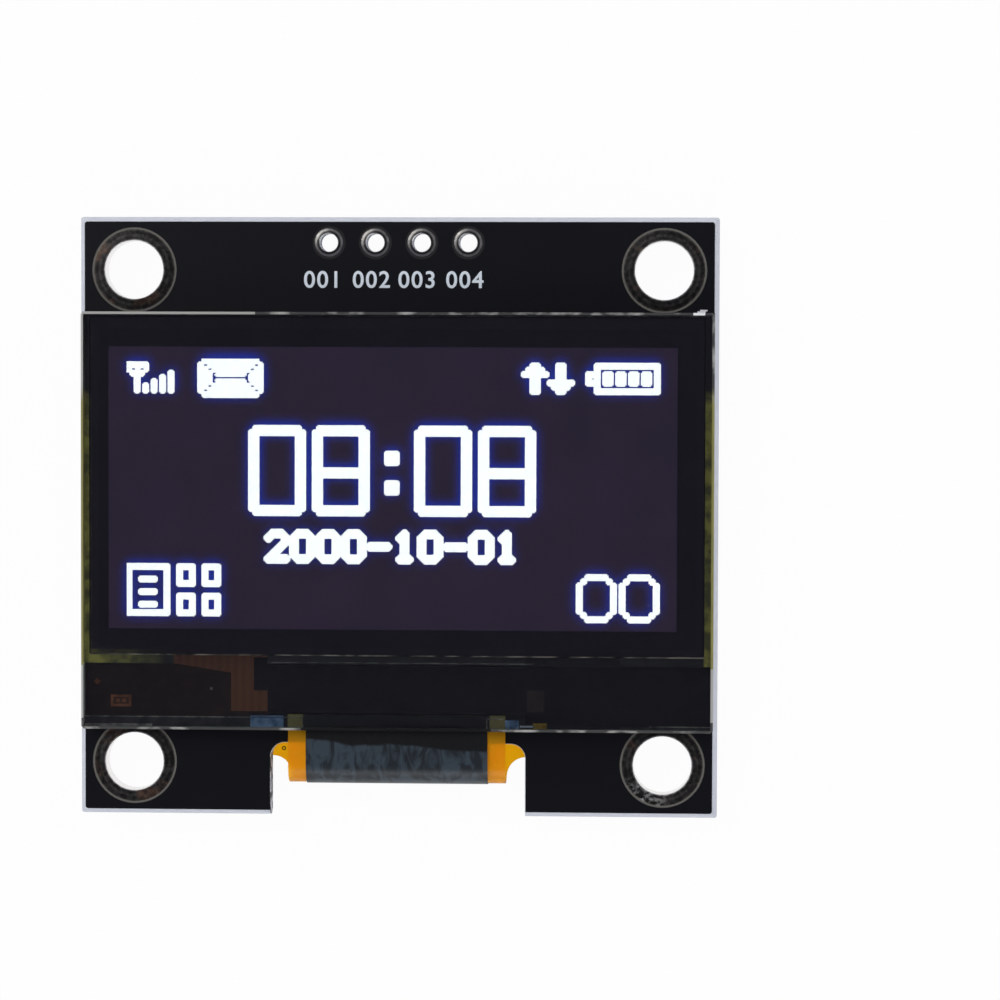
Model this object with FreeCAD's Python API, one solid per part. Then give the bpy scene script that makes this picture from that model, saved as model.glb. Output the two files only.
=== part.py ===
import FreeCAD, Part
import math
import os

# Small display module: a circuit board, a glass panel taped to its front and a folded flexible tail.
# All sizes are millimetres. +Z is the way the display faces, +Y is towards the pin row, and +X is to
# the reader's right. The origin is the centre of the four mounting holes, on the back of the board core.

# Panel outline, which sets the size of the board
panel_width = 34.5
panel_height = 22.8

# Board core: a gap beside the panel, a strip above it for the pins and one below it for the notch
board_side_gap = 0.25
upper_strip = 5.2
lower_strip = 4.8
hole_edge_x = 3.0
hole_edge_y = 2.9
board_thickness = 1.2
board_corner_radius = 0.15
score_reach = 0.24
score_depth = 0.4

# Plated holes: a ring on each face, and in the mounting holes a plated barrel too
hole_radius = 1.6
ring_radius = 2.22
pin_hole_radius = 0.5
pin_ring_radius = 0.8
pin_count = 4
pin_pitch = 2.54
pin_row_edge = 1.4
barrel_wall = 0.04
copper_thickness = 0.05

# Solder mask
mask_thickness = 0.03
mask_edge_margin = 0.03
mask_notch_margin = 0.03
mask_clearance = 0.11

# Panel: front glass with a ledge, rear cap glass, and the layers between and on them
front_glass_thickness = 0.7
cap_glass_thickness = 0.5
glass_edge_chamfer = 0.05
ledge_depth = 3.6
cap_recess_depth = 0.25
cap_recess_wall = 1.6
desiccant_thickness = 0.15
desiccant_gap = 0.6
seal_width = 0.9
seal_thickness = 0.05
film_thickness = 0.03
tape_thickness = 0.2
tape_inset = 1.2
polariser_thickness = 0.2
polariser_side_margin = 0.5
polariser_top_margin = 0.25
polariser_ledge_margin = 0.5
window_side_margin = 1.85
window_top_margin = 1.9
window_low_margin = 1.9

# Conductor fan-outs on the ledge, one on each side of the driver chip
fan_outer_half = 12.2
fan_neck_half = 9.05
fan_slope_drop = 0.5
fan_length = 2.6

# Driver chip and the black resin over it
chip_width = 6.8
chip_depth = 0.9
chip_thickness = 0.4
resin_width = 14.0
resin_depth = 2.6
resin_cover = 0.08
resin_slope = 0.2
fan_resin_gap = 0.05

# Flexible tail: bonded under the ledge, folded round through the notch and soldered on the back
flex_width = 11.9
flex_thickness = 0.06
flex_upper_run = 1.95
bond_depth = 0.85
bond_thickness = 0.02
coverlay_width = 9.95
coverlay_thickness = 0.05
coverlay_start_gap = 0.06
tail_width = 20.4
tail_corner_radius = 0.5
shoulder_rise = 0.3
shoulder_radius = 1.05
tail_length = 7.45
tail_tie_width = 0.8
tail_margin = 0.45
coverlay_low_gap = 1.0
finger_count = 30
finger_pitch = 0.62
finger_width = 0.3
finger_lap = 0.25
finger_thickness = 0.02
solder_window_length = 1.5
solder_width = 0.42
solder_height = 0.2
solder_end_gap = 0.06
solder_slope = 0.35
land_width = 0.4
land_thickness = 0.035

# Notch in the board's lower edge, sized from the tail that passes through it
notch_side_gap = 1.05
notch_setback = 0.8
notch_corner_radius = 0.8

# Parts on the back: two rows, one beside the tail and one below the pin row
row_pitch = 3.6
lower_row_gap = 2.8
upper_row_gap = 6.2
lower_row = ["resistor", "capacitor", "capacitor", "capacitor", "capacitor", "resistor", "resistor"]
upper_row = ["spare", "resistor", "resistor", "resistor", "capacitor", "regulator", "capacitor"]
chip_part_length = 1.6
chip_part_width = 0.8
chip_part_height = {"capacitor": 0.8, "resistor": 0.45}
end_length = 0.35
end_plating = 0.03
end_chamfer = 0.05
land_toe = 0.4
land_heel = 0.5
land_side = 0.06
fillet_share = 0.6
meniscus_share = 0.3

# Voltage regulator: a moulded body with three gull-wing legs
regulator_length = 2.9
regulator_depth = 1.3
regulator_height = 1.0
regulator_standoff = 0.05
regulator_draft = 0.09
leg_pitch = 0.95
leg_width = 0.4
leg_thickness = 0.12
leg_reach = 0.55
leg_foot = 0.35
leg_root = 0.2
leg_bend_radius = 0.1

# Worked out from the sizes above
board_width = panel_width + 2 * board_side_gap
board_height = panel_height + upper_strip + lower_strip
panel_centre_y = (lower_strip - upper_strip) / 2
pin_row_y = board_height / 2 - pin_row_edge
front_mask_top = board_thickness + mask_thickness
cap_bottom = front_mask_top + tape_thickness
seal_bottom = cap_bottom + cap_glass_thickness
glass_bottom = seal_bottom + seal_thickness
glass_top = glass_bottom + front_glass_thickness
film_bottom = glass_bottom - film_thickness
panel_top_y = panel_centre_y + panel_height / 2
panel_low_y = panel_centre_y - panel_height / 2
cap_low_y = panel_low_y + ledge_depth
finger_top = -land_thickness
finger_bottom = finger_top - finger_thickness
flex_top = glass_bottom - bond_thickness
flex_low = finger_bottom - flex_thickness
fold_radius = (flex_top - flex_low) / 2
fold_centre_y = panel_low_y - flex_upper_run
fold_tip_y = fold_centre_y - fold_radius
shoulder_y = fold_centre_y + shoulder_rise
tail_end_y = shoulder_y + tail_length
solder_high_y = tail_end_y - tail_tie_width
solder_low_y = solder_high_y - solder_window_length
notch_width = flex_width + 2 * notch_side_gap
notch_top_y = panel_low_y - notch_setback
lower_row_y = tail_end_y + lower_row_gap
upper_row_y = pin_row_y - upper_row_gap


# Drawing helpers

def in_plan(u, v):
    """A point of an outline that is seen from above."""
    return FreeCAD.Vector(u, v, 0)


def in_side_view(u, v):
    """A point of an outline that is seen along X: u is Y and v is Z."""
    return FreeCAD.Vector(0, u, v)


def in_front_view(u, v):
    """A point of an outline that is seen along Y: u is X and v is Z."""
    return FreeCAD.Vector(u, 0, v)


def outline(corners, place=in_plan):
    """A closed face from corners (u, v, radius), each rounded by an arc where its radius isn't 0."""
    starts = []
    middles = []
    ends = []
    for index, (u, v, radius) in enumerate(corners):
        corner = place(u, v)
        before = place(*corners[index - 1][:2]) - corner
        after = place(*corners[(index + 1) % len(corners)][:2]) - corner
        before.normalize()
        after.normalize()
        if radius == 0:
            starts.append(corner)
            middles.append(None)
            ends.append(corner)
            continue
        half_angle = before.getAngle(after) / 2
        inward = before + after
        inward.normalize()
        tangent_length = radius / math.tan(half_angle)
        starts.append(corner + before * tangent_length)
        middles.append(corner + inward * (radius / math.sin(half_angle) - radius))
        ends.append(corner + after * tangent_length)
    edges = []
    for index in range(len(corners)):
        if middles[index]:
            edges.append(Part.Arc(starts[index], middles[index], ends[index]).toShape())
        following = starts[(index + 1) % len(corners)]
        if (following - ends[index]).Length > 1e-6:
            edges.append(Part.LineSegment(ends[index], following).toShape())
    return Part.Face(Part.Wire(edges))


def prism(corners, low, high):
    """A plan outline extruded from one height to another."""
    face = outline(corners)
    face.translate(FreeCAD.Vector(0, 0, low))
    return face.extrude(FreeCAD.Vector(0, 0, high - low))


def side_prism(corners, width, centre_x=0):
    """A side-view outline extruded across X, centred on centre_x."""
    face = outline(corners, in_side_view)
    face.translate(FreeCAD.Vector(centre_x - width / 2, 0, 0))
    return face.extrude(FreeCAD.Vector(width, 0, 0))


def rectangle(half_x, low_y, high_y, radius=0, centre_x=0):
    """Corners of an upright rectangle, centred on centre_x."""
    left = centre_x - half_x
    right = centre_x + half_x
    return [(left, low_y, radius), (right, low_y, radius), (right, high_y, radius), (left, high_y, radius)]


def slab(half_x, low_y, high_y, low, high, radius=0, centre_x=0):
    """A flat rectangular piece."""
    return prism(rectangle(half_x, low_y, high_y, radius, centre_x), low, high)


def drill(x, y, radius, low, high):
    """A round cutter or pin."""
    return Part.makeCylinder(radius, high - low, FreeCAD.Vector(x, y, low))


def cut_all(shape, cutters):
    """Take every cutter away from the shape in one go."""
    return shape.cut(Part.makeCompound(cutters))


# Board

def mounting_centres():
    half_x = board_width / 2 - hole_edge_x
    half_y = board_height / 2 - hole_edge_y
    return [(-half_x, half_y), (half_x, half_y), (-half_x, -half_y), (half_x, -half_y)]


def pin_centres():
    return [((index - (pin_count - 1) / 2) * pin_pitch, pin_row_y) for index in range(pin_count)]


def board_corners(inset, notch_margin):
    """The board's outline with its notch, brought in by inset, with the notch made larger by a margin."""
    side = board_width / 2 - inset
    end = board_height / 2 - inset
    wall = notch_width / 2 + notch_margin
    roof = notch_top_y + notch_margin
    inner = notch_corner_radius + notch_margin
    outer = board_corner_radius
    left = [(-side, end, outer), (-side, -end, outer), (-wall, -end, 0), (-wall, roof, inner)]
    return left + [(-x, y, radius) for x, y, radius in reversed(left)]


def score_grooves():
    """V grooves along the four outer edges, in both faces, where the boards were snapped apart."""
    grooves = []
    sides = [(board_width, board_height, 0), (board_height, board_width, 90)]
    for across, along, turn in sides:
        for face, inward in ((0, score_depth), (board_thickness, -score_depth)):
            for edge in (-across / 2, across / 2):
                section = [(edge - score_reach, face, 0), (edge, face + inward, 0), (edge + score_reach, face, 0)]
                groove = outline(section, in_front_view)
                groove.translate(FreeCAD.Vector(0, -along, 0))
                groove = groove.extrude(FreeCAD.Vector(0, 2 * along, 0))
                groove.rotate(FreeCAD.Vector(0, 0, 0), FreeCAD.Vector(0, 0, 1), turn)
                grooves.append(groove)
    return grooves


def make_board():
    core = prism(board_corners(0, 0), 0, board_thickness)
    holes = [drill(x, y, hole_radius + barrel_wall, 0, board_thickness) for x, y in mounting_centres()]
    holes += [drill(x, y, pin_hole_radius, 0, board_thickness) for x, y in pin_centres()]
    return cut_all(core, score_grooves() + holes)


def mask_blank(low, high):
    """A coat of solder mask with round openings at the plated holes."""
    coat = prism(board_corners(score_reach + mask_edge_margin, mask_notch_margin), low, high)
    openings = [drill(x, y, ring_radius + mask_clearance, low, high) for x, y in mounting_centres()]
    openings += [drill(x, y, pin_ring_radius + mask_clearance, low, high) for x, y in pin_centres()]
    return cut_all(coat, openings)


def make_front_mask():
    return mask_blank(board_thickness, front_mask_top)


def make_back_mask():
    """The back coat, opened at every land with the mask's clearance."""
    openings = component_land_blocks(mask_clearance, -mask_thickness)
    half_row = finger_count * finger_pitch / 2
    openings.append(slab(
        half_row + mask_clearance,
        solder_low_y - finger_lap - mask_clearance,
        solder_high_y + finger_lap + mask_clearance,
        -mask_thickness,
        0,
    ))
    return cut_all(mask_blank(-mask_thickness, 0), openings)


def turned(section, x, y):
    """A front-view outline turned round an upright axis at x, y."""
    solid = outline(section, in_front_view).revolve(FreeCAD.Vector(0, 0, 0), FreeCAD.Vector(0, 0, 1), 360)
    solid.translate(FreeCAD.Vector(x, y, 0))
    return solid


def make_mounting_ring(x, y):
    """A barrel with a ring on each face, where levelled solder thins out to the rim."""
    wall = hole_radius + barrel_wall
    return turned([
        (hole_radius, -copper_thickness, 0),
        (ring_radius, 0, 0),
        (wall, 0, 0),
        (wall, board_thickness, 0),
        (ring_radius, board_thickness, 0),
        (hole_radius, board_thickness + copper_thickness, 0),
    ], x, y)


def make_pin_pad(x, y):
    """A ring on each face, round a hole whose own plating is too thin to model."""
    rings = []
    for face, crown in ((0, -copper_thickness), (board_thickness, board_thickness + copper_thickness)):
        section = [(pin_hole_radius, face, 0), (pin_ring_radius, face, 0), (pin_hole_radius, crown, 0)]
        rings.append(turned(section, x, y))
    return Part.makeCompound(rings)


# Panel

def glass_plate(low_y, high_y, low, high):
    """A cut glass plate with its long face edges seamed by a small chamfer."""
    plate = slab(panel_width / 2, low_y, high_y, low, high)
    return plate.makeChamfer(glass_edge_chamfer, plate.Edges)


def make_panel_tape():
    """Double-sided tape behind the cap glass, kept clear of the plated rings."""
    tape = slab(
        panel_width / 2 - tape_inset,
        cap_low_y + tape_inset,
        panel_top_y - tape_inset,
        front_mask_top,
        cap_bottom,
    )
    keep_clear = [
        drill(x, y, ring_radius + mask_clearance, front_mask_top, cap_bottom) for x, y in mounting_centres()
    ]
    return cut_all(tape, keep_clear)


def make_cap_glass():
    """The rear glass, with an etched recess that faces the display layers."""
    recess = slab(
        panel_width / 2 - cap_recess_wall,
        cap_low_y + cap_recess_wall,
        panel_top_y - cap_recess_wall,
        seal_bottom - cap_recess_depth,
        seal_bottom,
        cap_recess_wall / 2,
    )
    return glass_plate(cap_low_y, panel_top_y, cap_bottom, seal_bottom).cut(recess)


def make_desiccant():
    """The drying sheet, stuck to the floor of the recess."""
    inset = cap_recess_wall + desiccant_gap
    floor = seal_bottom - cap_recess_depth
    return slab(
        panel_width / 2 - inset,
        cap_low_y + inset,
        panel_top_y - inset,
        floor,
        floor + desiccant_thickness,
    )


def window_corners():
    low_y = cap_low_y + window_low_margin
    return rectangle(panel_width / 2 - window_side_margin, low_y, panel_top_y - window_top_margin)


def make_emitter_layer():
    return prism(window_corners(), film_bottom, glass_bottom)


def fan_out():
    """The right-hand fan-out: a wedge under the seal's lower run that narrows to a strip by the chip."""
    inner = resin_width / 2 + fan_resin_gap
    low_y = cap_low_y - fan_length
    high_y = cap_low_y + seal_width
    corners = [
        (inner, low_y, 0),
        (fan_neck_half, low_y, 0),
        (fan_neck_half, cap_low_y - fan_slope_drop, 0),
        (fan_outer_half, cap_low_y, 0),
        (fan_outer_half, high_y, 0),
        (inner, high_y, 0),
    ]
    return prism(corners, film_bottom, glass_bottom)


def make_electrode_layer():
    """Conductors on the front glass: a frame round the emitting window, and two fan-outs to the chip."""
    frame = slab(
        panel_width / 2 - seal_width,
        cap_low_y + seal_width,
        panel_top_y - seal_width,
        film_bottom,
        glass_bottom,
    )
    frame = frame.cut(prism(window_corners(), film_bottom, glass_bottom))
    right = fan_out()
    left = right.mirror(FreeCAD.Vector(0, 0, 0), FreeCAD.Vector(1, 0, 0))
    return frame.fuse([right, left]).removeSplitter()


def make_edge_seal():
    """The epoxy bead between the glasses, which the conductors cross on their way to the ledge."""
    outer = slab(panel_width / 2, cap_low_y, panel_top_y, seal_bottom, glass_bottom)
    inner = slab(
        panel_width / 2 - seal_width,
        cap_low_y + seal_width,
        panel_top_y - seal_width,
        seal_bottom,
        glass_bottom,
    )
    return outer.cut(inner).cut(make_electrode_layer())


def make_polariser():
    film = slab(
        panel_width / 2 - polariser_side_margin,
        cap_low_y + polariser_ledge_margin,
        panel_top_y - polariser_top_margin,
        glass_top,
        glass_top + polariser_thickness,
    )
    return film


def chip_centre_y():
    return cap_low_y - fan_resin_gap - resin_depth / 2


def make_driver_chip():
    middle = chip_centre_y()
    return slab(
        chip_width / 2,
        middle - chip_depth / 2,
        middle + chip_depth / 2,
        glass_bottom - chip_thickness,
        glass_bottom,
    )


def make_chip_resin():
    """Black resin poured over the chip, with sloping sides below."""
    middle = chip_centre_y()
    low = glass_bottom - chip_thickness - resin_cover
    pour = slab(resin_width / 2, middle - resin_depth / 2, middle + resin_depth / 2, low, glass_bottom)
    lower_edges = [edge for edge in pour.Edges if edge.BoundBox.ZMax < low + 1e-6]
    return pour.makeChamfer(resin_slope, lower_edges).cut(make_driver_chip())


# Flexible tail

def folded_strip(start_y, end_y, top, low, thickness, width):
    """A strip that runs out from start_y, folds round in a half circle and comes back to end_y."""
    outer = (top - low) / 2
    inner = outer - thickness
    tip = fold_centre_y - outer
    inner_tip = fold_centre_y - inner
    corners = [
        (start_y, top, 0),
        (tip, top, outer),
        (tip, low, outer),
        (end_y, low, 0),
        (end_y, low + thickness, 0),
        (inner_tip, low + thickness, inner),
        (inner_tip, top - thickness, inner),
        (start_y, top - thickness, 0),
    ]
    return side_prism(corners, width)


def tail_corners(side_margin, low_margin, end_margin):
    """The wide end of the tail in plan, brought in by a margin at its sides and at each end."""
    half = tail_width / 2 - side_margin
    return rectangle(half, shoulder_y + low_margin, tail_end_y - end_margin, tail_corner_radius)


def side_trims():
    """What is trimmed off beside the narrow run: straight above, and flared to the wide end below."""
    trims = []
    half = flex_width / 2
    far = tail_width
    before = fold_tip_y - fold_radius
    middle = (flex_top + flex_low) / 2
    for side in (-1, 1):
        upper = [(side * half, before, 0), (side * far, before, 0), (side * far, 0, 0), (side * half, 0, 0)]
        lower = [
            (side * half, before, 0),
            (side * far, before, 0),
            (side * far, shoulder_y, 0),
            (side * half, shoulder_y, shoulder_radius),
        ]
        trims.append(prism(upper, middle, flex_top + fold_radius))
        trims.append(prism(lower, flex_low - fold_radius, middle))
    return trims


def make_flex_film():
    """The amber base film: bond strip, fold, flared shoulders and a wide end with a solder window."""
    band_width = flex_width + 2 * shoulder_radius
    lap_y = shoulder_y + shoulder_radius
    band = folded_strip(panel_low_y + bond_depth, lap_y, flex_top, flex_low, flex_thickness, band_width)
    tail = prism(tail_corners(0, 0, 0), flex_low, flex_low + flex_thickness)
    film = band.fuse(tail)
    half_row = finger_count * finger_pitch / 2
    window = slab(half_row, solder_low_y, solder_high_y, flex_low, finger_bottom)
    return cut_all(film, side_trims() + [window]).removeSplitter()


def make_flex_coverlay():
    """The black cover film, on the outside of the fold and on the face of the wide end."""
    top = flex_top + coverlay_thickness
    low = flex_low - coverlay_thickness
    start_y = panel_low_y - coverlay_start_gap
    lap_y = shoulder_y + coverlay_low_gap + tail_margin
    strip = folded_strip(start_y, lap_y, top, low, coverlay_thickness, coverlay_width)
    end_margin = tail_end_y - solder_low_y + tail_margin
    cover = prism(tail_corners(tail_margin, coverlay_low_gap, end_margin), low, flex_low)
    return strip.fuse(cover).removeSplitter()


def make_bonding_film():
    """The adhesive strip that joins the tail to the ledge."""
    return slab(flex_width / 2, panel_low_y, panel_low_y + bond_depth, flex_top, glass_bottom)


def finger_centres():
    return [(index - (finger_count - 1) / 2) * finger_pitch for index in range(finger_count)]


def finger(x, width, lap, low, high):
    """A bar across the solder window, lapping past each end of it."""
    return slab(width / 2, solder_low_y - lap, solder_high_y + lap, low, high, 0, x)


def make_flex_fingers():
    bars = [finger(x, finger_width, finger_lap, finger_bottom, finger_top) for x in finger_centres()]
    return Part.makeCompound(bars)


def make_flex_lands():
    bars = [finger(x, land_width, finger_lap, finger_top, 0) for x in finger_centres()]
    return Part.makeCompound(bars)


def solder_joint(x):
    """A bead of solder that covers a finger and meets the land on each side of it."""
    low_y = solder_low_y + solder_end_gap
    high_y = solder_high_y - solder_end_gap
    crown = finger_top - solder_height
    bead = side_prism([
        (low_y, finger_top, 0),
        (high_y, finger_top, 0),
        (high_y - solder_slope, crown, 0),
        (low_y + solder_slope, crown, 0),
    ], solder_width, x)
    return bead.cut(finger(x, finger_width, finger_lap, finger_bottom, finger_top))


def make_flex_solder():
    return Part.makeCompound([solder_joint(x) for x in finger_centres()])


# Parts on the back

def sites(kind):
    """Centres of the places in the two rows that hold this kind of part."""
    found = []
    for row, y in ((lower_row, lower_row_y), (upper_row, upper_row_y)):
        for index, name in enumerate(row):
            if name == kind:
                found.append(((index - (len(row) - 1) / 2) * row_pitch, y))
    return found


def chip_lands(x, y, grow, low):
    """The two lands of a chip part, or their mask openings where grow isn't 0."""
    inner = chip_part_length / 2 - land_heel - grow
    outer = chip_part_length / 2 + land_toe + grow
    half = chip_part_width / 2 + land_side + grow
    blocks = []
    for side in (-1, 1):
        near, far = sorted((y + side * inner, y + side * outer))
        blocks.append(slab(half, near, far, low, 0, 0, x))
    return blocks


def leg_places(x, y):
    """Each leg of the regulator: its centre in X and the side of the body that it leaves."""
    return [(x - leg_pitch, -1), (x + leg_pitch, -1), (x, 1)]


def regulator_lands(x, y, grow, low):
    foot_end = regulator_depth / 2 + leg_reach
    blocks = []
    for leg_x, side in leg_places(x, y):
        near, far = sorted((y + side * (foot_end - leg_foot - grow), y + side * (foot_end + land_toe + grow)))
        blocks.append(slab(leg_width / 2 + land_side + grow, near, far, low, 0, 0, leg_x))
    return blocks


def component_land_blocks(grow, low):
    blocks = []
    for kind in ("capacitor", "resistor", "spare"):
        for x, y in sites(kind):
            blocks += chip_lands(x, y, grow, low)
    for x, y in sites("regulator"):
        blocks += regulator_lands(x, y, grow, low)
    return blocks


def make_component_lands():
    return Part.makeCompound(component_land_blocks(0, -land_thickness))


def make_chip_part(kind, x, y):
    """A fired ceramic block and the two plated cups on its ends."""
    height = chip_part_height[kind]
    half_length = chip_part_length / 2
    half_width = chip_part_width / 2
    low = -land_thickness - height
    high = -land_thickness
    body = slab(
        half_width - end_plating,
        y - half_length + end_plating,
        y + half_length - end_plating,
        low + end_plating,
        high - end_plating,
        0,
        x,
    )
    cups = []
    for side in (-1, 1):
        end_face = y + side * half_length
        near, far = sorted((end_face - side * end_length, end_face))
        cup = slab(half_width, near, far, low, high, 0, x)
        rim = [edge for edge in cup.Edges if abs(edge.BoundBox.YMin - end_face) < 1e-6
               and abs(edge.BoundBox.YMax - end_face) < 1e-6]
        cups.append(cup.makeChamfer(min(end_chamfer, end_plating * 0.9), rim).cut(body))
    return body, Part.makeCompound(cups)


def meniscus(x, face_y, side, width, height):
    """A solder fillet that climbs a vertical face from a land, with a hollow slope."""
    foot = -land_thickness
    return side_prism([
        (face_y, foot, 0),
        (face_y + side * land_toe, foot, 0),
        (face_y + side * land_toe * meniscus_share, foot - height * meniscus_share, 0),
        (face_y, foot - height, 0),
    ], width, x)


def make_component_solder():
    fillets = []
    for kind in ("capacitor", "resistor"):
        height = chip_part_height[kind] * fillet_share
        for x, y in sites(kind):
            for side in (-1, 1):
                fillets.append(meniscus(x, y + side * chip_part_length / 2, side, chip_part_width, height))
    for x, y in sites("regulator"):
        for leg_x, side in leg_places(x, y):
            end_y = y + side * (regulator_depth / 2 + leg_reach)
            fillets.append(meniscus(leg_x, end_y, side, leg_width, leg_thickness * fillet_share))
    return Part.makeCompound(fillets)


def regulator_leg(leg_x, y, side):
    """A gull-wing leg: out of the body at mid height, down and out along its land."""
    high = -land_thickness
    root_z = -mask_thickness - regulator_standoff - regulator_height / 2
    inside = y + side * (regulator_depth / 2 - leg_root)
    knee = y + side * (regulator_depth / 2 + leg_reach - leg_foot)
    end = y + side * (regulator_depth / 2 + leg_reach)
    step = side * leg_thickness
    outer_bend = leg_bend_radius + leg_thickness
    corners = [
        (inside, root_z, 0),
        (knee - step, root_z, 0),
        (knee - step, high, outer_bend),
        (end, high, 0),
        (end, high - leg_thickness, 0),
        (knee, high - leg_thickness, 0),
        (knee, root_z - leg_thickness, outer_bend),
        (inside, root_z - leg_thickness, 0),
    ]
    return side_prism(corners, leg_width, leg_x)


def make_regulator():
    """The moulded body, wider at its parting line, with its three legs let into it."""
    x, y = sites("regulator")[0]
    high = -mask_thickness - regulator_standoff
    middle = high - regulator_height / 2
    low = high - regulator_height
    rings = []
    for z, draft in ((high, regulator_draft), (middle, 0), (low, regulator_draft)):
        half_depth = regulator_depth / 2 - draft
        face = outline(rectangle(regulator_length / 2 - draft, y - half_depth, y + half_depth, 0, x))
        face.translate(FreeCAD.Vector(0, 0, z))
        rings.append(face.OuterWire)
    body = Part.makeLoft(rings, True, True)
    legs = [regulator_leg(leg_x, y, side) for leg_x, side in leg_places(x, y)]
    return cut_all(body, legs), Part.makeCompound(legs)


def build():
    """Every piece of the module, by node name."""
    pieces = {
        "board": make_board(),
        "front_mask": make_front_mask(),
        "back_mask": make_back_mask(),
        "panel_tape": make_panel_tape(),
        "cap_glass": make_cap_glass(),
        "desiccant": make_desiccant(),
        "edge_seal": make_edge_seal(),
        "electrode_layer": make_electrode_layer(),
        "emitter_layer": make_emitter_layer(),
        "substrate_glass": glass_plate(panel_low_y, panel_top_y, glass_bottom, glass_top),
        "polariser": make_polariser(),
        "driver_chip": make_driver_chip(),
        "chip_resin": make_chip_resin(),
        "bonding_film": make_bonding_film(),
        "flex_film": make_flex_film(),
        "flex_coverlay": make_flex_coverlay(),
        "flex_fingers": make_flex_fingers(),
        "flex_lands": make_flex_lands(),
        "flex_solder": make_flex_solder(),
        "component_lands": make_component_lands(),
        "component_solder": make_component_solder(),
    }
    for number, (x, y) in enumerate(mounting_centres(), 1):
        pieces[f"mounting_ring_{number}"] = make_mounting_ring(x, y)
    for number, (x, y) in enumerate(pin_centres(), 1):
        pieces[f"pin_pad_{number}"] = make_pin_pad(x, y)
    for kind in ("capacitor", "resistor"):
        for number, (x, y) in enumerate(sites(kind), 1):
            body, ends = make_chip_part(kind, x, y)
            pieces[f"{kind}_{number}"] = body
            pieces[f"{kind}_{number}_ends"] = ends
    pieces["regulator_body"], pieces["regulator_leads"] = make_regulator()
    return pieces


os.makedirs("parts", exist_ok=True)
for name, piece in build().items():
    piece.exportStep(f"parts/{name}.step")
    print(f"{name}: {len(piece.Solids)} solids, {piece.Volume:.4f} mm3")
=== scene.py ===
# %% [markdown]
# A small display module, seen from above. The real thing is a black circuit board with a thin glass panel
# taped to its front and a flexible tail that folds round its lower edge. The solid model of it is already
# exact, so it is loaded here as a fixed frame. This lesson gives every piece its finish, and adds what is
# too thin to be a solid: the lit picture, the white print, the tracks on the back and the marks on the
# glass.

import math

import bmesh
import bpy
import numpy as np
from mathutils import Matrix, Vector


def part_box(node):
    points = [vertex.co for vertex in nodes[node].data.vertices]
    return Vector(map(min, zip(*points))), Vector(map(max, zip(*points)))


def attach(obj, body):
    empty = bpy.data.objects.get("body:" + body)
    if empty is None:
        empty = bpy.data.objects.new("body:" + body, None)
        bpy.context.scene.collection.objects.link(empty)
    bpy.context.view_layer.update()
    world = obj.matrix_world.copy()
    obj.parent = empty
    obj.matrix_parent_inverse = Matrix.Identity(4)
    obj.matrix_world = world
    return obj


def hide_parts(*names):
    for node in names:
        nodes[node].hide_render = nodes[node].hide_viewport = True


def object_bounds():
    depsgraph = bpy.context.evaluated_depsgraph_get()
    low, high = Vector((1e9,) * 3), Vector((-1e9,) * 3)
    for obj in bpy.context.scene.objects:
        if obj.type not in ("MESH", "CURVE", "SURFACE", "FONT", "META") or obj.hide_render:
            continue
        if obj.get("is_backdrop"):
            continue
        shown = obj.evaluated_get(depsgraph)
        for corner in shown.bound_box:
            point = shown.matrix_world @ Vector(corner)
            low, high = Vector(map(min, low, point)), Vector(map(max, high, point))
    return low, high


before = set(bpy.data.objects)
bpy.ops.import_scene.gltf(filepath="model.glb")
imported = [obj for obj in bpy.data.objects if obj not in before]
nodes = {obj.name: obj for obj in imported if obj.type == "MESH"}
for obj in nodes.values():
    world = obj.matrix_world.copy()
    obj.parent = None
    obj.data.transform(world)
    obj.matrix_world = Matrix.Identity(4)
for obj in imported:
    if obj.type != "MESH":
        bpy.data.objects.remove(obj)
bounds_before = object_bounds()
MM = 0.001
print("pieces of the frame:", len(nodes))

# %% [markdown]
# Blender works in metres, and the module was drawn in millimetres, so one constant turns one into the other.
# The heights that several cells need are read from the frame, so that they follow the solid model.

# %% Heights and centres read from the frame
mask_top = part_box("front_mask")[1].z
mask_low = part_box("back_mask")[0].z
film_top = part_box("emitter_layer")[1].z
glass_low, glass_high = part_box("substrate_glass")
film_low, film_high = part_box("polariser")
ring_low, ring_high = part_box("mounting_ring_2")
ring_centre = (ring_low + ring_high) / 2
pin_low, pin_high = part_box("pin_pad_3")
pin_centre = (pin_low + pin_high) / 2
print("front print lies at", round(mask_top / MM, 3), "mm, display film at", round(film_top / MM, 3), "mm")

# %% [markdown]
# The camera comes first, because everything else is judged through it. The photograph was taken from about
# 20 cm, almost straight above, a little to the right and above the centre. Its place and turn were found by
# matching the corner holes, the pin holes and the corners of the glass, and are written here as a turn about
# one axis.

# %% Camera
photo_pixels = 1000
focal_pixels = 3660
sensor_width = 36
turn_degrees = Vector((2.29, -2.91, -0.23))
seen_from = Vector((-5.58, -0.95, -200.26))
board_face = 1.2

turn = Matrix.Rotation(math.radians(turn_degrees.length), 3, turn_degrees.normalized())
camera_place = (turn.transposed() @ -seen_from + Vector((0, 0, board_face))) * MM
camera = bpy.data.objects.new("camera", bpy.data.cameras.new("camera"))
camera.data.sensor_width = sensor_width
camera.data.lens = focal_pixels / photo_pixels * sensor_width
camera.data.clip_start = 0.01
camera.matrix_world = Matrix.Translation(camera_place) @ turn.transposed().to_4x4()
bpy.context.scene.collection.objects.link(camera)
bpy.context.scene.camera = camera
bpy.context.scene.view_settings.view_transform = "Standard"
print("camera stands at", [round(value / MM, 1) for value in camera_place], "mm")

# %% [markdown]
# A few small helpers carry every material. The first turns the hex colours that a picture shows, which are
# in the sRGB scale, into the linear colours that the renderer adds up. The second adds a node, gives it its
# settings, and fills its sockets with plain values or with the outputs of other nodes.

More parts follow.
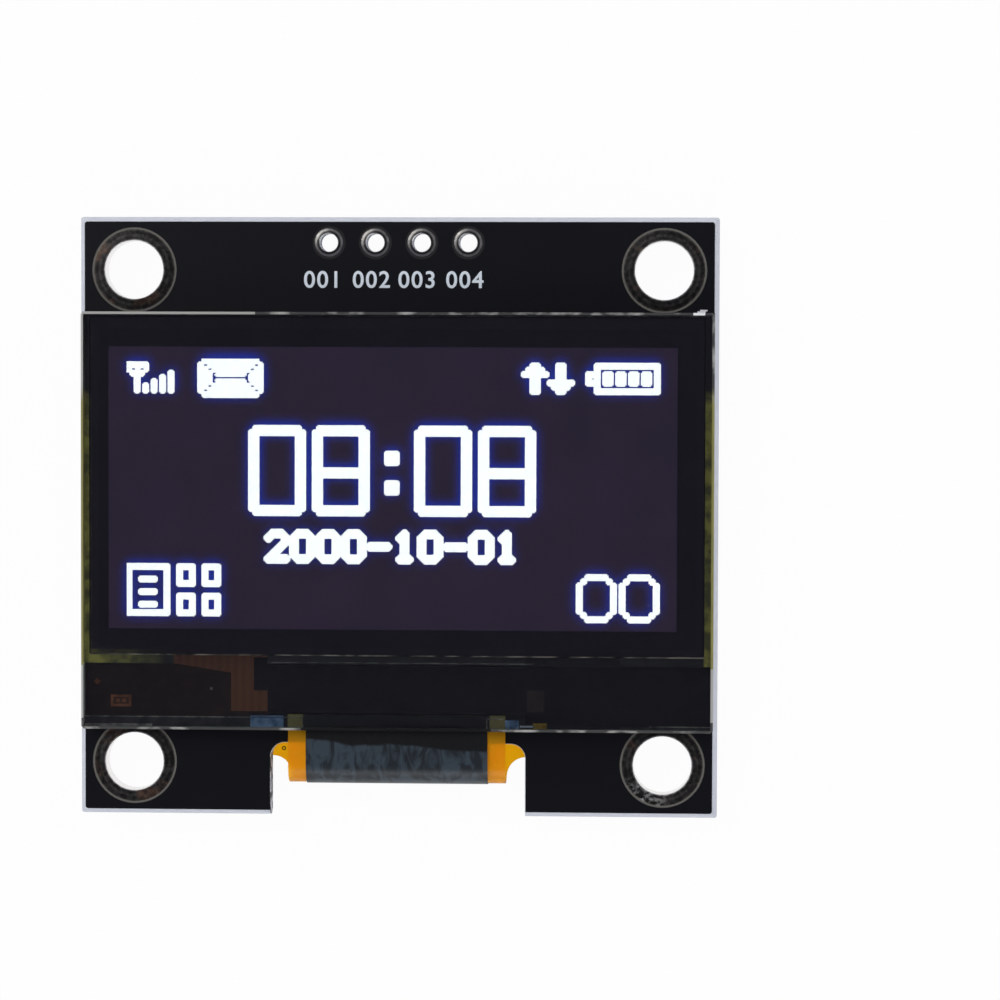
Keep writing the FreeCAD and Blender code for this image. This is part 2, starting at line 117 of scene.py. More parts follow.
# %% Colour and node helpers
def linear(hex_text):
    """Turn a colour such as #c8a050 into linear red, green, blue and a full alpha."""
    shares = [int(hex_text[place:place + 2], 16) / 255 for place in (1, 3, 5)]
    return [share / 12.92 if share <= 0.04045 else ((share + 0.055) / 1.055) ** 2.4 for share in shares] + [1]


def add(tree, kind, sockets=None, **settings):
    """Add a shader node with its settings, plain values and links, and return its outputs."""
    node = tree.nodes.new("ShaderNode" + kind)
    for name, value in settings.items():
        setattr(node, name, value)
    for socket, value in (sockets or {}).items():
        if isinstance(value, bpy.types.NodeSocket):
            tree.links.new(value, node.inputs[socket])
        else:
            node.inputs[socket].default_value = value
    return node.outputs


def new_finish(name, **plain):
    """Start a material with one Principled shader, and return it with its tree, shader and coordinates."""
    material = bpy.data.materials.new(name)
    material.use_nodes = True
    tree = material.node_tree
    shader = tree.nodes["Principled BSDF"]
    for socket, value in plain.items():
        shader.inputs[socket.replace("_", " ")].default_value = value
    return material, tree, shader, add(tree, "TexCoord")["Object"]


def paint(tree, shader, colour):
    """Let another node's output be the base colour."""
    tree.links.new(colour, shader.inputs["Base Color"])


def wear(material, *names):
    """Give a material to pieces of the frame, in the slots that they already have."""
    for name in names:
        for material_slot in nodes[name].material_slots:
            material_slot.material = material


print("a middle grey is", round(linear("#808080")[0], 3), "in linear light")

# %% [markdown]
# Real surfaces are never even, so almost every finish has a cloudy pattern that moves its colour, roughness
# or height a little. These helpers make such patterns, and find where on a piece a point lies: between
# limits, or at some distance from the nearest hole.

# %% Pattern helpers
FAR = 99


def per_mm(size):
    """The texture scale at which a pattern repeats about every so many millimetres."""
    return 1 / (size * MM)


def mottle(tree, place, size, detail, dark, light):
    """Make a cloudy pattern with spots of so many mm, and a colour that runs between two with it."""
    cloud = add(tree, "TexNoise", {"Vector": place, "Scale": per_mm(size), "Detail": detail})[0]
    return cloud, add(tree, "Mix", {0: cloud, 6: linear(dark), 7: linear(light)}, data_type="RGBA")[2]


def cloudy_finish(name, size, detail, dark, light, **plain):
    """Make a whole finish with a mottled colour, and return it with its tree, shader and pattern."""
    material, tree, shader, place = new_finish(name, **plain)
    cloud, colour = mottle(tree, place, size, detail, dark, light)
    paint(tree, shader, colour)
    return material, tree, shader, cloud


def vary_roughness(tree, shader, pattern, low, high):
    """Let the roughness follow a pattern between two values."""
    rough = add(tree, "MapRange", {"Value": pattern, "To Min": low, "To Max": high})[0]
    tree.links.new(rough, shader.inputs["Roughness"])


def patches(tree, place, size, detail, start, full, distortion=0.0):
    """Make a cloudy pattern that is 0 below one level and 1 above another, so that it falls into patches."""
    cloud = add(tree, "TexNoise", {"Vector": place, "Scale": per_mm(size), "Detail": detail,
                                   "Distortion": distortion})[0]
    return add(tree, "MapRange", {"Value": cloud, "From Min": start, "From Max": full})[0]


def relief(tree, shader, pattern, strength, depth):
    """Let a pattern stand out of the surface, by so many mm at most."""
    bump = add(tree, "Bump", {"Height": pattern, "Strength": strength, "Distance": depth * MM})[0]
    tree.links.new(bump, shader.inputs["Normal"])


def between(tree, place, **limits):
    """Give 1 where x, y or z lies between its limits in mm, and 0 elsewhere. Several axes must all agree."""
    split = add(tree, "SeparateXYZ", {0: place})
    share = None
    for axis, (low, high) in limits.items():
        middle, half = (low + high) / 2 * MM, (high - low) / 2 * MM
        near = add(tree, "Math", {0: split[axis.upper()], 1: middle, 2: half}, operation="COMPARE")[0]
        share = near if share is None else add(tree, "Math", {0: share, 1: near}, operation="MULTIPLY")[0]
    return share


def from_hole(tree, place, centre, pitch=None):
    """The distance from the nearest hole's axis. Holes mirror about both axes, or repeat at a pitch."""
    if pitch is not None:
        place = add(tree, "VectorMath", {0: place, 1: (pitch, 1, 1)}, operation="MODULO")[0]
    near = add(tree, "VectorMath", {0: place}, operation="ABSOLUTE")[0]
    near = add(tree, "VectorMath", {0: near, 1: (centre.x, centre.y, 0)}, operation="SUBTRACT")[0]
    flat = add(tree, "VectorMath", {0: near, 1: (1, 1, 0)}, operation="MULTIPLY")[0]
    return add(tree, "VectorMath", {0: flat}, operation="LENGTH")["Value"]


def from_point(tree, place, x, y):
    """The distance from an upright axis, given by its place in mm."""
    flat = add(tree, "VectorMath", {0: place, 1: (1, 1, 0)}, operation="MULTIPLY")[0]
    return add(tree, "VectorMath", {0: flat, 1: (x * MM, y * MM, 0)}, operation="DISTANCE")["Value"]


def banded(tree, distance, steps):
    """A colour that changes with the distance, given as (distance in mm, hex) steps in rising order."""
    far = steps[-1][0] * MM
    share = add(tree, "Math", {0: distance, 1: far}, operation="DIVIDE")[0]
    colour = add(tree, "ValToRGB", {0: share})[0]
    elements = colour.node.color_ramp.elements
    while len(elements) < len(steps):
        elements.new(0.5)
    for element, (where, hex_text) in zip(elements, steps):
        element.position = where * MM / far
        element.color = linear(hex_text)
    return colour


print("a pattern of 0.5 mm has a scale of", per_mm(0.5))

# %% [markdown]
# Several pieces are shaped with mesh operators. One helper gives a shape its size and place. Another turns it
# into an object that stays at the origin, unturned and unscaled, with its place in its points.

# %% Helpers that place a shape and turn it into an object
def fit(shape, points, low, high):
    """Stretch and move a shape of unit size, so that it fills the box between two corners."""
    bmesh.ops.scale(shape, verts=points, vec=high - low)
    bmesh.ops.translate(shape, verts=points, vec=(high + low) / 2)


def built(name, shape):
    """Turn a shape into an object of its own in the scene."""
    made = bpy.data.objects.new(name, bpy.data.meshes.new(name))
    shape.to_mesh(made.data)
    shape.free()
    bpy.context.scene.collection.objects.link(made)
    return made


# %% [markdown]
# The module lies on a white table in a plain studio. The table is a large white sheet. Most of its white is
# its own, for what the camera and the mirrors see, so that it stays white without more light on the object,
# and the rest is lit, so that it keeps the object's soft shadow. The room is white at its walls and darker
# overhead, which is why the glass looks black from above and pale from low down.

# %% Table
table_reach = 2
table_gap = 0.01 * MM
own_white = 0.96

table_mesh = bmesh.new()
bmesh.ops.create_grid(table_mesh, x_segments=1, y_segments=1, size=table_reach)
bmesh.ops.translate(table_mesh, verts=table_mesh.verts, vec=(0, 0, bounds_before[0].z - table_gap))
table = built("table", table_mesh)
table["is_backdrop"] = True

white_sheet, tree, shader, _ = new_finish("white_paper_sheet", Base_Color=linear("#ffffff"), Roughness=0.9)
ray = add(tree, "LightPath")
seen = add(tree, "Math", {0: ray["Is Camera Ray"], 1: ray["Is Glossy Ray"]}, operation="MAXIMUM")[0]
seen = add(tree, "Math", {0: seen, 1: ray["Is Transmission Ray"]}, operation="MAXIMUM")[0]
share = add(tree, "Math", {0: seen, 1: own_white}, operation="MULTIPLY")[0]
glow = add(tree, "Emission", {"Color": (1, 1, 1, 1), "Strength": 1.0})[0]
both = add(tree, "MixShader", {0: share, 1: shader.outputs[0], 2: glow})[0]
tree.links.new(both, tree.nodes["Material Output"].inputs["Surface"])
table.data.materials.append(white_sheet)
print("table reaches", table_reach, "m each way")

# %% Room and lamps
wall_light, ceiling_light = 0.9, 0.085
wall_ends, ceiling_starts = 0.25, 0.75
lamps = {
    "key": ((-0.24, 0.20, 0.34), 0.30, 0.75),
    "fill": ((0.30, 0.10, 0.30), 0.35, 0.35),
    "low_front": ((0.02, -0.34, 0.26), 0.22, 0.45),
}

room = bpy.data.worlds.new("room")
room.use_nodes = True
bpy.context.scene.world = room
tree = room.node_tree
way = add(tree, "TexCoord")["Generated"]
height = add(tree, "SeparateXYZ", {0: way})["Z"]
up = add(tree, "MapRange", {"Value": height, "From Min": wall_ends, "From Max": ceiling_starts})[0]
level = add(tree, "MapRange", {"Value": up, "To Min": wall_light, "To Max": ceiling_light})[0]
tree.links.new(level, tree.nodes["Background"].inputs["Strength"])
air_tint = add(tree, "Mix", {0: up, 6: linear("#ffffff"), 7: linear("#dcdcff")}, data_type="RGBA")[2]
tree.links.new(air_tint, tree.nodes["Background"].inputs["Color"])

for name, (place, width, power) in lamps.items():
    lamp = bpy.data.objects.new(name, bpy.data.lights.new(name, "AREA"))
    lamp.data.shape = "DISK"
    lamp.data.size = width
    lamp.data.energy = power
    lamp.location = place
    lamp.rotation_euler = Vector(place).to_track_quat("Z", "Y").to_euler()
    bpy.context.scene.collection.objects.link(lamp)
print("lamps:", ", ".join(lamps))

# %% [markdown]
# The board core is a glass-cloth epoxy laminate. Where it was scored and snapped, its cut glass fibres show
# as a pale grey band with fine layers, rough to the touch. In the narrow gaps round the rings and the pin
# pads its upper and lower faces are dark, with the etched copper just below them. The notch was routed, and
# its left wall is torn and dirty. One material does all of it, with the place on the board as its switch.

# %% Glass-epoxy laminate
layers_per_pattern = 14
gap_reach = 2.36 * MM
core_half = 0.59
pin_row = {"x": (-5, 5), "y": (13.9, 16)}
torn_wall = {"x": (-7.03, -6.97), "y": (-16.8, -11.8)}

laminate, tree, shader, place = new_finish("cut_glass_epoxy_laminate", Roughness=0.75, IOR=1.5)
layers = add(tree, "Mapping", {"Vector": place, "Scale": (1, 1, layers_per_pattern)})[0]
fibres, pale = mottle(tree, layers, 0.5, 6.0, "#b9bfca", "#f0f3f8")
dirt = patches(tree, place, 0.5, 3.0, 0.45, 0.55)
dirt = add(tree, "Math", {0: dirt, 1: between(tree, place, **torn_wall)}, operation="MULTIPLY")[0]
walls = add(tree, "Mix", {0: dirt, 6: pale, 7: linear("#4d4b48")}, data_type="RGBA")[2]
reach = from_hole(tree, place, ring_centre)
by_ring = add(tree, "Math", {0: reach, 1: gap_reach}, operation="LESS_THAN")[0]
mirrored = add(tree, "VectorMath", {0: place}, operation="ABSOLUTE")[0]
by_pins = between(tree, mirrored, **pin_row)
in_gap = add(tree, "Mix", {0: by_pins, 6: linear("#6b6861"), 7: linear("#141417")}, data_type="RGBA")[2]
inner = between(tree, place, z=(board_face / 2 - core_half, board_face / 2 + core_half))
dark = add(tree, "Math", {0: by_ring, 1: by_pins}, operation="MAXIMUM")[0]
dark = add(tree, "Math", {0: dark, 1: inner}, operation="SUBTRACT", use_clamp=True)[0]
colour = add(tree, "Mix", {0: dark, 6: walls, 7: in_gap}, data_type="RGBA")[2]
paint(tree, shader, colour)
relief(tree, shader, fibres, 0.5, 0.03)
wear(laminate, "board")
print("laminate layers about", round(0.5 / layers_per_pattern, 3), "mm thick")

# %% [markdown]
# The solder mask is a thin black photo-cured coat, sprayed and baked. It is satin, with a very slight orange
# peel from the cloth below it, and its black is a little blue.

# %% Solder mask
mask_finish, tree, shader, place = new_finish("black_solder_mask", Roughness=0.32, IOR=1.45)
_, tint = mottle(tree, place, 3, 4.0, "#06070b", "#0b0c13")
paint(tree, shader, tint)
peel = add(tree, "TexNoise", {"Vector": place, "Scale": per_mm(0.35), "Detail": 2.0})[0]
relief(tree, shader, peel, 0.12, 0.02)
wear(mask_finish, "front_mask", "back_mask")
print("mask covers", len(nodes["front_mask"].data.polygons), "faces of the front")

# %% [markdown]
# The corner rings are copper, levelled with hot solder and then dulled by handling. The metal is grey in
# bands that follow the ring, with brown stains and fine scratches, and the lower right ring has a painted
# highlight at one spot, where a lamp would glint on it. Each ring has a pale rim and pale walls in its hole.
# The pin pads have the same coat, still bright, with a dark outline.

# %% Dull levelled solder of the corner rings
ring_steps = [(1.575, "#fafafa"), (1.61, "#f2f0ee"), (1.66, "#5a5856"), (1.74, "#343333"), (1.9, "#4a4846"),
              (2.02, "#363535"), (2.14, "#3a3938"), (2.2, "#5a5753"), (2.22, "#4a4845")]
hole_wall = 1.62 * MM
glint_spot = (13.5, -15.3)

dull_plating, tree, shader, place = new_finish("dulled_levelled_solder", Metallic=1.0)
reach = from_hole(tree, place, ring_centre)
rings = banded(tree, reach, ring_steps)
on_face = add(tree, "Math", {0: reach, 1: hole_wall}, operation="GREATER_THAN")[0]
stain = patches(tree, place, 1.9, 5.0, 0.6, 0.72, distortion=0.6)
stain = add(tree, "Math", {0: stain, 1: on_face}, operation="MULTIPLY")[0]
stained = add(tree, "Mix", {0: stain, 6: rings, 7: linear("#6a5549")}, data_type="RGBA")[2]
grain = add(tree, "TexNoise", {"Vector": place, "Scale": per_mm(0.22), "Detail": 6.0})[0]
speck = add(tree, "MapRange", {
    "Value": grain, "From Min": 0.4, "From Max": 0.62, "To Min": 0.75, "To Max": 1.4})[0]
shaded = add(tree, "VectorMath", {0: stained, "Scale": speck}, operation="SCALE")[0]
shaded = add(tree, "Mix", {0: on_face, 6: rings, 7: shaded}, data_type="RGBA")[2]
# Painted highlight: bright near one point on the lower right ring, broken up where the grain is low.
from_glint = from_point(tree, place, *glint_spot)
painted_glint = add(tree, "MapRange", {
    "Value": from_glint, "From Min": 1.5 * MM, "From Max": 0.2 * MM, "To Max": 0.7})[0]
glint_breaks = add(tree, "MapRange", {"Value": grain, "From Min": 0.44, "From Max": 0.66})[0]
painted_glint = add(tree, "Math", {0: painted_glint, 1: glint_breaks}, operation="MULTIPLY")[0]
shaded = add(tree, "Mix", {0: painted_glint, 6: shaded, 7: linear("#e6e6e2")}, data_type="RGBA")[2]
paint(tree, shader, shaded)
vary_roughness(tree, shader, grain, 0.3, 0.55)
relief(tree, shader, grain, 0.35, 0.02)
ring_names = [f"mounting_ring_{number}" for number in range(1, 5)]
wear(dull_plating, *ring_names)
print("dull rings:", len(ring_names))

# %% Bright levelled solder of the lands and pin pads
pad_steps = [(0.49, "#e8e6e4"), (0.53, "#8a8886"), (0.57, "#2c2b2b"), (0.63, "#6e6c6a"), (0.69, "#bebbb7"),
             (0.75, "#a5a29e"), (0.79, "#3c3b3b")]

bright_plating, tree, shader, ripple = cloudy_finish(
    "bright_levelled_solder", 0.3, 3.0, "#9c9a98", "#e4e2de", Metallic=1.0)
vary_roughness(tree, shader, ripple, 0.18, 0.42)
relief(tree, shader, ripple, 0.3, 0.03)
wear(bright_plating, "flex_lands", "component_lands")

pad_plating, tree, shader, place = new_finish("silvery_pin_pad_plating", Metallic=1.0, Roughness=0.3)
reach = from_hole(tree, place, pin_centre, pitch=2 * pin_centre.x)
rings = banded(tree, reach, pad_steps)
ripple = add(tree, "TexNoise", {"Vector": place, "Scale": per_mm(0.3), "Detail": 3.0})[0]
speck = add(tree, "MapRange", {
    "Value": ripple, "From Min": 0.3, "From Max": 0.7, "To Min": 0.7, "To Max": 1.3})[0]
shaded = add(tree, "VectorMath", {0: rings, "Scale": speck}, operation="SCALE")[0]
paint(tree, shader, shaded)
relief(tree, shader, ripple, 0.3, 0.03)
pad_names = [f"pin_pad_{number}" for number in range(1, 5)]
wear(pad_plating, *pad_names)
print("bright pads:", len(pad_names), "and 2 pieces with all lands")

# %% [markdown]
# The glass parts come next. The front glass is soda-lime sheet, ground at its edges, and a dark polarising
# film is laminated on it. In the solid model these touch face to face, which is right for solids but leaves
# the renderer two faces in one place. So both are drawn again here as plates a few micrometres apart, with
# finely seamed edges, and they stand for the pieces of the frame.

# %% A helper for a thin plate with seamed edges
def plate(name, low, high, seam):
    """Make a box between two corners, with its edges bevelled by the seam width."""
    shape = bmesh.new()
    bmesh.ops.create_cube(shape, size=1)
    fit(shape, shape.verts, low, high)
    bmesh.ops.bevel(shape, geom=shape.edges, offset=seam, affect="EDGES", segments=1, profile=0.5, material=-1)
    for face in shape.faces:
        face.material_index = int(abs(face.normal.z) < 0.99)
    piece = built(name, shape)
    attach(piece, "root")
    return piece


air = Vector((0, 0, 0.006 * MM))
front_glass = plate("front_glass", glass_low + air, glass_high - air, 0.14 * MM)
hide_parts("substrate_glass")
film_sheet = plate("polarising_sheet", film_low, film_high, 0.06 * MM)
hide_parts("polariser")
print("front glass drawn", [round(value / MM, 3) for value in glass_high - glass_low], "mm")

# %% Soda-lime glass
glass_finish, tree, shader, smudge = cloudy_finish(
    "ground_edge_sheet_glass", 5, 4.0, "#f4fbf6", "#ffffff", Transmission_Weight=1.0, IOR=1.5)
rough = add(tree, "MapRange", {
    "Value": smudge, "From Min": 0.4, "From Max": 0.8, "To Min": 0.0, "To Max": 0.06})[0]
tree.links.new(rough, shader.inputs["Roughness"])
front_glass.data.materials.append(glass_finish)
wear(glass_finish, "cap_glass")
print("glass IOR", shader.inputs["IOR"].default_value)

# %% [markdown]
# The edge of the front glass is ground to a narrow seam. Its light and shade are painted: pale at the left
# of the top edge and down the sides, and in painted shade, dark grey, along the rest of the top edge, the top
# of the right side and the lower edge, with painted glints scattered along all of it. Over the tail the seam
# is painted near black and made metallic, so that it shows almost no shine. At the upper right corner a
# painted glint makes a short stretch of the seam a white mirror, and the olive of the edge seal is painted on
# the sides, where it would show through.

# %% Ground edge of the front glass
top_edge = {"y": (10, FAR)}
low_edge = {"y": (-FAR, -11)}
seam_base = glass_high.z / MM - 0.16

ground_finish, tree, shader, place = new_finish("ground_seamed_glass_edge", Transmission_Weight=0.25, IOR=1.5)
chips_and_glints, frosted = mottle(tree, place, 1.2, 5.0, "#39403c", "#5c6560")
shaded = between(tree, place, x=(-7.7, FAR), **top_edge)
for part in (between(tree, place, **low_edge), between(tree, place, x=(16.9, FAR), y=(6, FAR))):
    shaded = add(tree, "Math", {0: shaded, 1: part}, operation="MAXIMUM")[0]
bright = add(tree, "Math", {0: 1.0, 1: shaded}, operation="SUBTRACT")[0]
glint = add(tree, "MapRange", {"Value": chips_and_glints, "From Min": 0.5, "From Max": 0.66})[0]
bright = add(tree, "Math", {0: bright, 1: glint}, operation="MAXIMUM")[0]
ground = add(tree, "Mix", {0: bright, 6: linear("#2c2c2e"), 7: linear("#c0c0ba")}, data_type="RGBA")[2]
by_tail = between(tree, place, x=(-5.2, 5.2), **low_edge)
on_side = between(tree, place, z=(-FAR, seam_base))
seam_glint = between(tree, place, x=(16.08, 16.72), z=(seam_base, FAR), **top_edge)
up = add(tree, "SeparateXYZ", {0: place})["Y"]
beside_seal = add(tree, "MapRange", {"Value": up, "From Min": 7.2 * MM, "From Max": 6.2 * MM})[0]
above_ledge = between(tree, place, y=(-8.1, FAR))
beside_seal = add(tree, "Math", {0: beside_seal, 1: above_ledge}, operation="MULTIPLY")[0]
olive = add(tree, "Mix", {0: chips_and_glints, 6: linear("#77722c"), 7: linear("#a8a350")}, data_type="RGBA")[2]
# Painted over the rest: dark metal over the tail, frosted sides, the white mirror of the corner glint, and the
# seal's olive at the sides.
for where, tint in ((by_tail, linear("#1c1b1f")), (on_side, frosted), (seam_glint, linear("#f4f6f8")),
                    (beside_seal, olive)):
    ground = add(tree, "Mix", {0: where, 6: ground, 7: tint}, data_type="RGBA")[2]
paint(tree, shader, ground)
no_glass = add(tree, "Math", {0: by_tail, 1: seam_glint}, operation="MAXIMUM")[0]
tree.links.new(no_glass, shader.inputs["Metallic"])
vary_roughness(tree, shader, chips_and_glints, 0.3, 0.7)
front_glass.data.materials.append(ground_finish)
print("seam of the glass starts at", round(seam_base, 3), "mm")

# %% [markdown]
# The polarising film is dyed plastic on the glass. It takes light away on the way in and again on the way
# out, so the panel looks black through it. Its cut edge has no shine, and along the ledge it has pale patches
# painted on, a painted highlight where that edge faces the light from the front.

# %% Polarising film
film_alpha = 0.42
along_ledge = {"y": (-FAR, -7.4)}

film_finish, tree, shader, _ = cloudy_finish(
    "dark_polarising_film", 2.2, 5.0, "#1c1b22", "#26252d", Roughness=0.12, IOR=1.49, Alpha=film_alpha)
film_sheet.data.materials.append(film_finish)
cut_film, tree, shader, place = new_finish("cut_film_edge", Roughness=0.6, Specular_IOR_Level=0.0)
edge_highlight = patches(tree, place, 0.9, 4.0, 0.4, 0.65)
edge_highlight = add(tree, "Math", {0: edge_highlight, 1: between(tree, place, **along_ledge)}, operation="MULTIPLY")[0]
tint = add(tree, "Mix", {0: edge_highlight, 6: linear("#141418"), 7: linear("#706d66")}, data_type="RGBA")[2]
paint(tree, shader, tint)
film_sheet.data.materials.append(cut_film)
print("film lets through", round(1 - film_alpha, 2))

# %% [markdown]
# Behind the glass lie a foam tape, a drying sheet, the seal between the two glasses and the conductor
# tracks. The seal is an olive epoxy that sets under ultraviolet light. Seen through the film it shows only
# at the two sides below the top and at the foot on the left, and the rest of it is in the shade of the black
# border.

# %% Tape and drying sheet
foam_cell = 0.12

tape_finish, tree, shader, place = new_finish("black_foam_tape", Roughness=0.85)
cells = add(tree, "TexVoronoi", {"Vector": place, "Scale": per_mm(foam_cell)})["Distance"]
tint = add(tree, "Mix", {0: cells, 6: linear("#0b0b0c"), 7: linear("#1c1c1e")}, data_type="RGBA")[2]
paint(tree, shader, tint)
relief(tree, shader, cells, 0.4, 0.02)
wear(tape_finish, "panel_tape")

drying_finish, *_ = cloudy_finish("white_drying_sheet", 0.3, 6.0, "#c9c8c2", "#e9e8e4", Roughness=0.9)
wear(drying_finish, "desiccant")
print("foam cells of about", foam_cell, "mm")

# %% Olive edge seal
seal_finish, tree, shader, place = new_finish("olive_edge_epoxy", Roughness=0.45, IOR=1.55)
clot, olive = mottle(tree, place, 0.8, 5.0, "#8f8a36", "#c4bd58")
split = add(tree, "SeparateXYZ", {0: place})
across = add(tree, "Math", {0: split["X"]}, operation="ABSOLUTE")[0]
shares = []
for value, none, full, most in ((split["Y"], 7.0, 6.4, 1), (across, 16.7, 16.8, 1),
                                (split["Y"], -7.2, -7.3, 1), (split["X"], -12.6, -16.2, 0.75)):
    limits = {"From Min": none * MM, "From Max": full * MM, "To Max": most}
    shares.append(add(tree, "MapRange", {"Value": value, **limits})[0])
sides = add(tree, "Math", {0: shares[0], 1: shares[1]}, operation="MULTIPLY")[0]
foot = add(tree, "Math", {0: shares[2], 1: shares[3]}, operation="MULTIPLY")[0]
shown = add(tree, "Math", {0: sides, 1: foot}, operation="MAXIMUM")[0]
uneven = add(tree, "MapRange", {"Value": clot, "From Min": 0.4, "From Max": 0.6, "To Min": 0.35})[0]
shown = add(tree, "Math", {0: shown, 1: uneven}, operation="MULTIPLY")[0]
tint = add(tree, "Mix", {0: shown, 6: linear("#0a0a0b"), 7: olive}, data_type="RGBA")[2]
paint(tree, shader, tint)
wear(seal_finish, "edge_seal")
print("seal seen at the sides and at the foot")

# %% Conductor tracks
electrode_finish, tree, shader, place = new_finish("brown_electrode_tracks", Metallic=0.3, Roughness=0.35)
lines = add(tree, "TexWave", {"Vector": place, "Scale": per_mm(1.4), "Distortion": 0.4},
            wave_type="BANDS", bands_direction="X")["Fac"]
tracks = add(tree, "Mix", {0: lines, 6: linear("#5a3620"), 7: linear("#643e26")}, data_type="RGBA")[2]
fan_out = between(tree, place, x=(-FAR, 0), y=(-FAR, -7.45))
tint = add(tree, "Mix", {0: fan_out, 6: linear("#171518"), 7: tracks}, data_type="RGBA")[2]
paint(tree, shader, tint)
wear(electrode_finish, "electrode_layer")
print("brown tracks seen only on the ledge, left of the middle")

# %% [markdown]
# The driver chip sits under black potting resin, and an adhesive film bonds the tail to the ledge. The resin
# flowed before it set, so it is wavy and shiny. The bonding film is full of tiny conducting beads, and it
# only shows at its two open ends beside the cover film.

# %% Black resin, chip and bonding film
resin_finish, tree, shader, flow = cloudy_finish(
    "black_potting_resin", 2.5, 3.0, "#080709", "#121014", Roughness=0.28, IOR=1.55)
relief(tree, shader, flow, 0.3, 0.1)
wear(resin_finish, "chip_resin")

chip_finish, *_ = cloudy_finish(
    "polished_chip_silicon", 0.2, 2.0, "#0f0e10", "#17151a", Roughness=0.2, Metallic=0.3)
wear(chip_finish, "driver_chip")

cover_reach = 5.1
bond_finish, tree, shader, place = new_finish(
    "beaded_bonding_adhesive", Roughness=0.6, Specular_IOR_Level=0.2)
beads = add(tree, "TexVoronoi", {"Vector": place, "Scale": per_mm(0.06)})["Distance"]
open_ends = add(tree, "Mix", {0: beads, 6: linear("#5a5638"), 7: linear("#7a7448")}, data_type="RGBA")[2]
covered = between(tree, place, x=(-cover_reach, cover_reach))
tint = add(tree, "Mix", {0: covered, 6: open_ends, 7: linear("#121214")}, data_type="RGBA")[2]
paint(tree, shader, tint)
wear(bond_finish, "bonding_film")
print("ledge pieces given their finish: 3")

# %% [markdown]
# The tail is an amber polyimide film with copper fingers and a black cover film outside. Light comes through
# the amber, and a small dark circle is printed on its left ear. From a little below the glass's edge over the
# front of the fold, the cover film carries a painted grey-blue sheen, as a lamp in front would give it, with
# streaks across the bend.

# %% Amber film
dot_place, dot_radius, dot_line = (-6.4, -12.86), 0.09, 0.03

amber_finish, tree, shader, place = new_finish(
    "amber_polyimide_film", Roughness=0.4, IOR=1.3, Transmission_Weight=0.7)
_, tint = mottle(tree, place, 1.2, 4.0, "#ffb200", "#ffcc0e")
on_circle = add(tree, "Math", {0: from_point(tree, place, *dot_place), 1: dot_radius * MM, 2: dot_line * MM},
                 operation="COMPARE")[0]
tint = add(tree, "Mix", {0: on_circle, 6: tint, 7: linear("#3a2604")}, data_type="RGBA")[2]
paint(tree, shader, tint)
wear(amber_finish, "flex_film")
print("circle on the ear is", 2 * dot_radius, "mm wide")

# %% Black cover film
sheen_below = -12.22
tilt = 0.062

cover_finish, tree, shader, place = new_finish("black_cover_film", Roughness=0.42, IOR=1.42)
split = add(tree, "SeparateXYZ", {0: place})
tilted = add(tree, "Math", {0: split["X"], 1: tilt}, operation="MULTIPLY")[0]
down = add(tree, "Math", {0: split["Y"], 1: tilted}, operation="ADD")[0]
ripple = add(tree, "TexNoise", {"Vector": place, "Scale": per_mm(1.5), "Detail": 3.0})[0]
wander = add(tree, "Math", {0: ripple, 1: 0.5 * MM}, operation="MULTIPLY")[0]
down = add(tree, "Math", {0: down, 1: wander}, operation="ADD")[0]
# The painted sheen: grey-blue below a slightly tilted, wandering line a little under the glass's edge, on the
# front only.
none, full = (sheen_below + 0.06) * MM, (sheen_below - 0.06) * MM
sheened = add(tree, "MapRange", {"Value": down, "From Min": none, "From Max": full})[0]
in_front = between(tree, place, z=(0, FAR))
sheened = add(tree, "Math", {0: sheened, 1: in_front}, operation="MULTIPLY")[0]
drawn = add(tree, "Mapping", {"Vector": place, "Rotation": (0, 0, 0.35), "Scale": (1.0, 0.4, 1)})[0]
streaks = patches(tree, drawn, 0.7, 4.0, 0.42, 0.56, distortion=1.2)
grey = add(tree, "Mix", {0: streaks, 6: linear("#1d242a"), 7: linear("#36414a")}, data_type="RGBA")[2]
_, black = mottle(tree, place, 0.5, 3.0, "#050607", "#0b0d0f")
tint = add(tree, "Mix", {0: sheened, 6: black, 7: grey}, data_type="RGBA")[2]
paint(tree, shader, tint)
relief(tree, shader, streaks, 0.35, 0.02)
wear(cover_finish, "flex_coverlay")
print("cover film is rubbed below y =", sheen_below, "mm")

# %% Copper fingers and solder
copper_finish, *_ = cloudy_finish(
    "tinned_finger_copper", 0.2, 2.0, "#b08a56", "#d8b47c", Metallic=1.0, Roughness=0.3)
wear(copper_finish, "flex_fingers")

solder_finish, tree, shader, chill = cloudy_finish(
    "shiny_reflowed_solder", 0.25, 4.0, "#a8a8a6", "#d8d8d4", Metallic=1.0)
vary_roughness(tree, shader, chill, 0.2, 0.5)
wear(solder_finish, "flex_solder", "component_solder")
print("solder pieces: 2")

# %% [markdown]
# The picture comes from a grid of 128 by 64 tiny light-emitting dots behind the glass. Each lit dot could be
# a small square, but thousands of squares would be heavy, and their light spreads a little in the glass. So
# the picture is planned on a grid of dots first, from bars and boxes, in the way that the module's own
# program would draw it. Then each dot is split in three each way, the lit area grows by one of these steps,
# or by two for the date, and one flat mesh is cut from a grid.

# %% Plan of the signs along the top
dot_columns, dot_rows = 128, 64
plain_dots = np.zeros((dot_rows, dot_columns), bool)
broad_dots = plain_dots.copy()
dark_dots = plain_dots.copy()


def bars(picture, *boxes):
    """Light boxes of dots, each given as first column, first row, columns, rows."""
    for column, row, width, depth in boxes:
        picture[row:row + depth, column:column + width] = True


def signs(picture, column, row, text):
    """Light a small sign that is written as rows of marks, split by slashes."""
    for down, line in enumerate(text.split("/")):
        for across, mark in enumerate(line):
            if mark == "#":
                picture[row + down, column + across] = True


